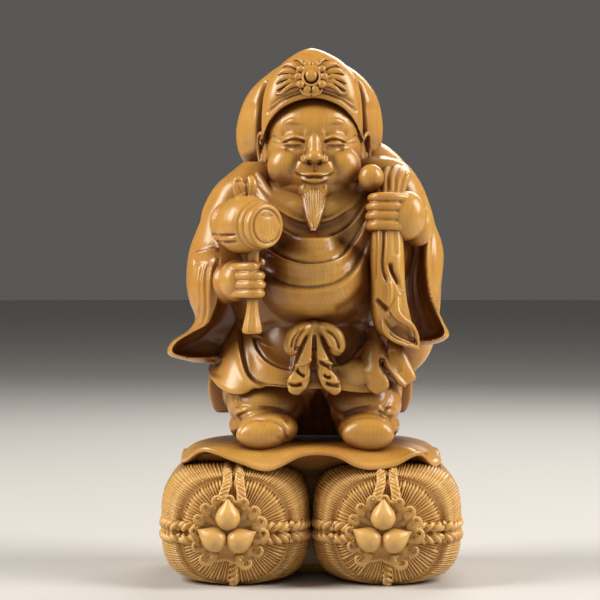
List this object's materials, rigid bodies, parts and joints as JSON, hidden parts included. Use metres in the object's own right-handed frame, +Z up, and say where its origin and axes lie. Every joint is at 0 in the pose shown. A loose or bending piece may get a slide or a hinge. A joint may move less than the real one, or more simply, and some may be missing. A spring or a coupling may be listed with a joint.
{
  "type": "carved wooden figure",
  "caption": "Boxwood carving of Daikoku, god of plenty, with a lucky mallet and a treasure sack, standing on a draped cloth over straw rice bales; it rests on the flat underside of the bales.",
  "frame": {"origin": "middle of the bounding box, on the flat underside of the bales", "axes": "+Z up, +X to the figure's left, which is the viewer's right, -Y to the front, where the face looks"},
  "size_m": [0.1138, 0.091, 0.2002],
  "materials": {
    "boxwood": "waxed semi-gloss"
  },
  "bodies": {
    "root": {"daikoku_figure": "boxwood"}
  },
  "joints": []
}
